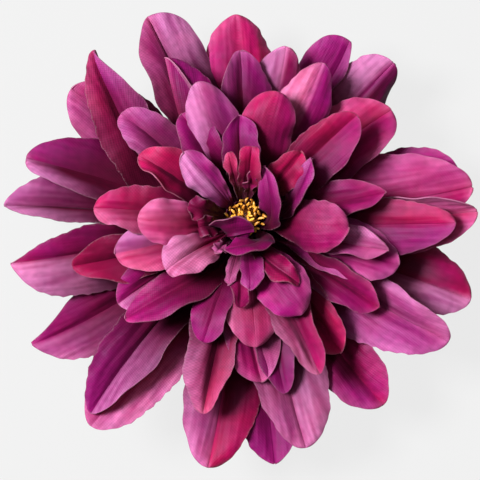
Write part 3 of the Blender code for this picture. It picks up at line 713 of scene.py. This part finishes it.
# Fifth petal layer: eight short spoon-shaped petals of the same cloth, cut as one rosette, most of them
# domed on a rounded mould. They shelter the eye of the flower.
petal_layer("petals_5", "petal_layer_5", 4, 16.5, 16.0, 51.0, (
    Petal(131.5, 28.2, 48, -10, 0, dye=0, blush=0, pleat=0.2, wide_left=0.8, wide_right=0.5, widest=0.75,
          bow=0.5, pale_left=1, twist=-15, dark=-0.1, soak_left=0),
    Petal(179, 33, 47, 5, -4, dye=0.6, blush=0.4, wide_left=0.9, wide_right=0.85, widest=0.72,
          pale_left=0.3, pale_right=0.5, crease=0.2, dark=0.1, soak_left=0.2, soak_right=0.1),
    Petal(-148, 28.5, 49, 42, -10, dye=0.7, blush=0.15, pale_left=0.9, pale_right=1.2, crease=0.9,
          dark=-0.6, soak_left=0.2, soak_right=0, dye_right=0.5),
    Petal(-59, 33.5, 47, -10, -10, dye=0.25, blush=0, pleat=0.2, dome=0.25, pale_left=0.2, crease=0.05,
          dark=0.1),
    Petal(-2.7, 31.5, 48.5, -6, -8, dye=0.5, pleat=0.1, dome=0.3, hook=0.5, pale_left=0.3, crease=0.1,
          soak_left=0, soak_right=0, dye_right=0.4),
    Petal(50.6, 27.3, 47, 35, 30, dye=1, blush=0, wide_left=0.75, wide_right=0.7, pale_right=-0.1,
          dark=0.4),
    Petal(43.8, 27.8, 50, 20, 20, swing=-42, dye=0, blush=0, pleat=0.3, wide_left=0.5, wide_right=0.5,
          pale_left=0.3),
    Petal(93, 32.5, 44, 45, 35, dye=0, wide_left=0.9, wide_right=0.9, crease=0.3, dark=0.4, soak_left=1),
))


# Inner petal layer: thirteen small narrow petals of the same cloth, cut as one rosette and pressed with
# hardly a pleat. They stand round the stamens, and three are turned by hand so that they curl across them.
def inner_petal(azimuth, reach, height, left, right, **looks):
    """A petal with faint pleats and no crimson along its midrib."""
    return Petal(azimuth, reach, height, left, right, blush=0, pleat=0.15, **looks)


petal_layer("petals_6_inner", "petal_layer_6_inner", 5, 9.5, 12.5, 53.5, (
    inner_petal(71, 17.8, 51, 15, 15, swing=-88, dye=0, twist=60),
    inner_petal(84.8, 22.7, 54, 40, 40, dye=0.9, blunt_left=1, blunt_right=1, pale_left=-0.1),
    inner_petal(83, 17.5, 49, 62, 62, dye=0.5, wide_left=0.7, wide_right=0.7, pale_left=-0.3,
                pale_right=-0.3),
    inner_petal(103.4, 21.4, 54, 45, 25, dye=0.9, wide_left=0.5, wide_right=0.5, widest=0.75),
    inner_petal(164, 18.1, 50, 20, 20, dye=0.8, wide_left=0.8, wide_right=0.8, pale_left=-0.6,
                pale_right=-0.6, dark=0.5),
    inner_petal(-172, 14.5, 48, 40, 30, dye=0.9, wide_left=0.9, wide_right=0.8, pale_left=-0.7,
                pale_right=-0.7, dark=0.5),
    inner_petal(-50, 4, 46, 10, 10, swing=-95, dye=0.1, wide_right=1.7, pale_left=-0.35, pale_right=-0.35,
                twist=25),
    inner_petal(-133, 13, 51, 60, 50, dye=0.3, wide_left=0.6, wide_right=0.6, pale_left=0.3,
                pale_right=0.3),
    inner_petal(-126.6, 10.7, 52, 10, 10, swing=87, dye=0.1, wide_left=1.3, wide_right=1.2,
                pale_left=-0.15, pale_right=-0.15, twist=-60),
    inner_petal(-104.3, 20.1, 50, 30, 30, dye=0.4, wide_left=0.45, wide_right=0.45, pale_left=0.4,
                pale_right=0.4),
    inner_petal(-86, 21.1, 51, 30, 30, dye=0, wide_left=1.1, wide_right=0.7),
    inner_petal(-93.4, 26.8, 46, 45, 45, dye=0.5, pale_left=-0.3, pale_right=-0.3),
    inner_petal(-48.5, 25.2, 49, 30, 30, swing=-27, dye=0.7, pale_left=-0.2, pale_right=-0.2),
))


# Stamens: a bunch of filaments with grain-like anthers on a domed cap, which is pressed on the end of the
# calyx's pin and keeps the petal layers on it. They are injection-moulded polyethylene, golden yellow.
STAMEN_COUNT = 60
STAMEN_SEED = 11
ANTHER_LENGTH = 2.2
ANTHER_WIDTH = 0.85
FILAMENT_WIDTH = 0.55
CAP_RADIUS = 4.0
CAP_BOTTOM = 28.4
CAP_TOP = 35.6
CAP_SIDES = 48
BUNCH_RADIUS = 6.0
BUNCH_TOP = 40.5
BUNCH_LEAN = 1.2
GOLDEN_ANGLE = math.radians(137.508)


def moulded_gold():
    """Polyethylene moulded golden yellow: glossy, browner on some anthers, and darker lower in the bunch as
    painted shade.
    """
    material, tree = new_material("moulded_polyethylene_gold")
    place = add_node(tree, "ShaderNodeTexCoord").outputs["Object"]
    height = add_node(tree, "ShaderNodeSeparateXYZ", {"Vector": place}).outputs["Z"]
    tint = add_node(tree, "ShaderNodeAttribute", attribute_name="tint").outputs["Fac"]
    # Painted shade: the lower a point lies in the bunch, the nearer its colour goes to dark brown.
    shade = add_node(tree, "ShaderNodeMapRange", {
        "Value": height, "From Min": (CAP_TOP + 0.5) * MM, "From Max": (BUNCH_TOP - 0.5) * MM})
    picked = add_node(tree, "ShaderNodeMix", {
        "Factor": tint, "A": linear("#a8661c"), "B": linear("#d8a03a")}, data_type="RGBA")
    colour = add_node(tree, "ShaderNodeMix", {
        "Factor": shade.outputs["Result"], "A": linear("#7a3d14"), "B": picked.outputs["Result"]},
        data_type="RGBA")
    grain = add_node(tree, "ShaderNodeTexNoise", {"Vector": place, "Scale": 2500.0, "Detail": 2.0})
    bump = add_node(tree, "ShaderNodeBump", {
        "Height": grain.outputs["Fac"], "Strength": 0.4, "Distance": 0.0001})
    shader = add_node(tree, "ShaderNodeBsdfPrincipled", {
        "Base Color": colour.outputs["Result"], "Roughness": 0.34, "IOR": 1.5,
        "Normal": bump.outputs["Normal"]})
    finish_shader(tree, shader)
    return material


gold = moulded_gold()
cap_profile = [
    (0.05, CAP_BOTTOM), (2.9, CAP_BOTTOM), (3.1, CAP_BOTTOM + 0.2), (3.1, 31.0), (CAP_RADIUS, 32.0),
    (CAP_RADIUS, 33.8), (3.7, 34.6), (2.8, 35.2), (1.5, 35.5), (0.05, CAP_TOP),
]
vertices, faces = turned(cap_profile, CAP_SIDES)
cap = new_piece("stamens_cap", vertices, faces, [gold])

bunch_tree, given, sizes = new_group("bunch_of_stamens", {
    "Count": STAMEN_COUNT, "Seed": STAMEN_SEED, "Cap Radius": CAP_RADIUS * 0.85 * MM,
    "Bunch Radius": BUNCH_RADIUS * MM, "Cap Top": (CAP_TOP - 0.8) * MM, "Bunch Top": BUNCH_TOP * MM,
    "Lean": BUNCH_LEAN * MM, "Anther Length": ANTHER_LENGTH * MM, "Anther Width": ANTHER_WIDTH * MM,
    "Filament Width": FILAMENT_WIDTH * MM})


def sum_of(operation, first, second=0.0, third=0.0):
    """One step of arithmetic in the stamens' tree."""
    step = add_node(bunch_tree, "ShaderNodeMath", {0: first, 1: second, 2: third}, operation=operation)
    return step.outputs[0]


def random_between(low, high, salt):
    """A random number for each stamen, drawn from the tree's seed."""
    seed = add_node(bunch_tree, "ShaderNodeMath", {0: given["Seed"], 1: float(salt)}, operation="ADD")
    return add_node(bunch_tree, "FunctionNodeRandomValue", {
        "Min": low, "Max": high, "Seed": seed.outputs[0]}, data_type="FLOAT").outputs["Value"]


number = add_node(bunch_tree, "GeometryNodeInputIndex").outputs[0]
filled = sum_of("DIVIDE", sum_of("ADD", number, 0.5), given["Count"])
share_out = sum_of("SQRT", filled)
turn = sum_of("MULTIPLY", number, GOLDEN_ANGLE)
east, north = sum_of("COSINE", turn), sum_of("SINE", turn)
root_radius = sum_of("MULTIPLY", share_out, given["Cap Radius"])
root_height = sum_of("MULTIPLY_ADD", sum_of("POWER", share_out, 3.0), -1.0 * MM, given["Cap Top"])
root = add_node(bunch_tree, "ShaderNodeCombineXYZ", {
    "X": sum_of("MULTIPLY", east, root_radius), "Y": sum_of("MULTIPLY", north, root_radius),
    "Z": root_height}).outputs[0]
even_radius = sum_of("MULTIPLY", share_out, given["Bunch Radius"])
tip_radius = sum_of("MULTIPLY", even_radius, random_between(0.85, 1.1, 1))
tip_height = sum_of("MULTIPLY_ADD", filled, -2.6 * MM, given["Bunch Top"])
tip = add_node(bunch_tree, "ShaderNodeCombineXYZ", {
    "X": sum_of("ADD", sum_of("MULTIPLY", east, tip_radius), random_between(-0.5 * MM, 0.5 * MM, 2)),
    "Y": sum_of("ADD", sum_of("MULTIPLY_ADD", north, tip_radius, given["Lean"]),
                random_between(-0.5 * MM, 0.5 * MM, 3)),
    "Z": sum_of("ADD", tip_height, random_between(-1.2 * MM, 0.4 * MM, 4))}).outputs[0]
reach = add_node(bunch_tree, "ShaderNodeVectorMath", {0: tip, 1: root}, operation="SUBTRACT").outputs[0]
length = add_node(bunch_tree, "ShaderNodeVectorMath", {0: reach}, operation="LENGTH").outputs["Value"]
upright = add_node(bunch_tree, "FunctionNodeAlignRotationToVector", {"Vector": reach}, axis="Z").outputs[0]
roots = add_node(bunch_tree, "GeometryNodePoints", {"Count": given["Count"], "Position": root}).outputs[0]
tinted = add_node(bunch_tree, "GeometryNodeStoreNamedAttribute", {
    "Geometry": roots, "Name": "tint", "Value": random_between(0.0, 1.0, 5)}, data_type="FLOAT").outputs[0]

# Each filament is a six-sided tapering rod, a unit long and wide, scaled between its two ends.
rod = add_node(bunch_tree, "GeometryNodeMeshCone", {
    "Vertices": 6, "Side Segments": 2, "Radius Top": 0.3, "Radius Bottom": 0.5, "Depth": 1.0},
    fill_type="NONE").outputs["Mesh"]
rod_size = add_node(bunch_tree, "ShaderNodeCombineXYZ", {
    "X": given["Filament Width"], "Y": given["Filament Width"], "Z": length}).outputs[0]
filaments = add_node(bunch_tree, "GeometryNodeInstanceOnPoints", {
    "Points": tinted, "Instance": rod, "Rotation": upright, "Scale": rod_size}).outputs[0]

# Each anther is a grain bent like a bean, laid over at its own angle on the filament's end.
bead = add_node(bunch_tree, "GeometryNodeMeshUVSphere", {
    "Segments": 10, "Rings": 8, "Radius": 0.5}).outputs["Mesh"]
bead_place = add_node(bunch_tree, "GeometryNodeInputPosition").outputs[0]
bead_height = add_node(bunch_tree, "ShaderNodeSeparateXYZ", {"Vector": bead_place}).outputs["Z"]
bend = add_node(bunch_tree, "ShaderNodeCombineXYZ", {
    "X": sum_of("MULTIPLY", sum_of("MULTIPLY", bead_height, bead_height), 1.3)}).outputs[0]
bean = add_node(bunch_tree, "GeometryNodeSetPosition", {"Geometry": bead, "Offset": bend}).outputs[0]
tips = add_node(bunch_tree, "GeometryNodeSetPosition", {"Geometry": tinted, "Position": tip}).outputs[0]
tilt = add_node(bunch_tree, "ShaderNodeCombineXYZ", {
    "X": random_between(-0.9, 0.9, 6), "Y": random_between(-0.9, 0.9, 7),
    "Z": random_between(0.0, math.tau, 8)})
laid = add_node(bunch_tree, "FunctionNodeRotateRotation", {
    "Rotation": upright, "Rotate By": tilt.outputs[0]}, rotation_space="LOCAL").outputs[0]
bean_size = add_node(bunch_tree, "ShaderNodeCombineXYZ", {
    "X": given["Anther Width"], "Y": given["Anther Width"], "Z": given["Anther Length"]}).outputs[0]
anthers = add_node(bunch_tree, "GeometryNodeInstanceOnPoints", {
    "Points": tips, "Instance": bean, "Rotation": laid, "Scale": bean_size}).outputs[0]
both = add_node(bunch_tree, "GeometryNodeJoinGeometry")
bunch_tree.links.new(filaments, both.inputs[0])
bunch_tree.links.new(anthers, both.inputs[0])
bunch = new_piece("stamens_bunch", [], [], [gold])
grow(bunch, bunch_tree, sizes, both.outputs[0], gold)
for piece in (cap, bunch):
    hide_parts("stamens")
    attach(piece, "root")


# Stage: a pale floor that the head lies on, a key light from the left, a wide soft light above, and the
# camera looking straight down as in the photograph.
PHOTO_SCALE = 0.32
CAMERA_HEIGHT = 900.0
CAMERA_SUBJECT_HEIGHT = 10.0
AXIS_PIXEL = (245.0, 222.0)
FRAME_PIXELS = 480
SENSOR_WIDTH = 36.0
LIGHTS_AIM_HEIGHT = 30.0
FLOOR_HALF_WIDTH = 4000.0

floor_mesh = bpy.data.meshes.new("floor")
half = FLOOR_HALF_WIDTH * MM
floor_mesh.from_pydata([(-half, -half, 0), (half, -half, 0), (half, half, 0), (-half, half, 0)], [], [
    (0, 1, 2, 3)])
floor = bpy.data.objects.new("floor", floor_mesh)
bpy.context.scene.collection.objects.link(floor)
floor_material, floor_tree = new_material("pale_floor")
floor_shader = add_node(floor_tree, "ShaderNodeBsdfPrincipled", {
    "Base Color": (0.03, 0.03, 0.03, 1), "Roughness": 0.9, "Specular IOR Level": 0.0,
    "Emission Color": (1, 1, 1, 1), "Emission Strength": 0.808})
finish_shader(floor_tree, floor_shader)
floor_mesh.materials.append(floor_material)


def soft_light(name, azimuth, elevation, distance, size, watts):
    """A square soft box that looks at the flower."""
    data = bpy.data.lights.new(name, "AREA")
    data.size = size
    data.energy = watts
    light = bpy.data.objects.new(name, data)
    bpy.context.scene.collection.objects.link(light)
    turn, rise = math.radians(azimuth), math.radians(elevation)
    away = Vector((math.cos(turn) * math.cos(rise), math.sin(turn) * math.cos(rise), math.sin(rise)))
    light.location = away * distance + Vector((0, 0, LIGHTS_AIM_HEIGHT * MM))
    light.rotation_euler = away.to_track_quat("Z", "Y").to_euler()


soft_light("key", azimuth=163.0, elevation=57.0, distance=1.2, size=0.36, watts=41.0)
soft_light("above", azimuth=110.0, elevation=75.0, distance=1.6, size=0.9, watts=6.0)

world = bpy.data.worlds.new("studio")
bpy.context.scene.world = world
world.use_nodes = True
background = world.node_tree.nodes["Background"]
background.inputs["Color"].default_value = (1, 1, 1, 1)
background.inputs["Strength"].default_value = 0.08
bpy.context.scene.view_settings.view_transform = "Standard"

camera_data = bpy.data.cameras.new("camera")
camera_data.sensor_width = SENSOR_WIDTH
camera_data.lens = SENSOR_WIDTH * CAMERA_HEIGHT / (FRAME_PIXELS * PHOTO_SCALE)
camera_data.clip_end = 20.0
camera = bpy.data.objects.new("camera", camera_data)
bpy.context.scene.collection.objects.link(camera)
camera.location = Vector((
    (FRAME_PIXELS / 2 - AXIS_PIXEL[0]) * PHOTO_SCALE, (AXIS_PIXEL[1] - FRAME_PIXELS / 2) * PHOTO_SCALE,
    CAMERA_HEIGHT + CAMERA_SUBJECT_HEIGHT)) * MM
bpy.context.scene.camera = camera
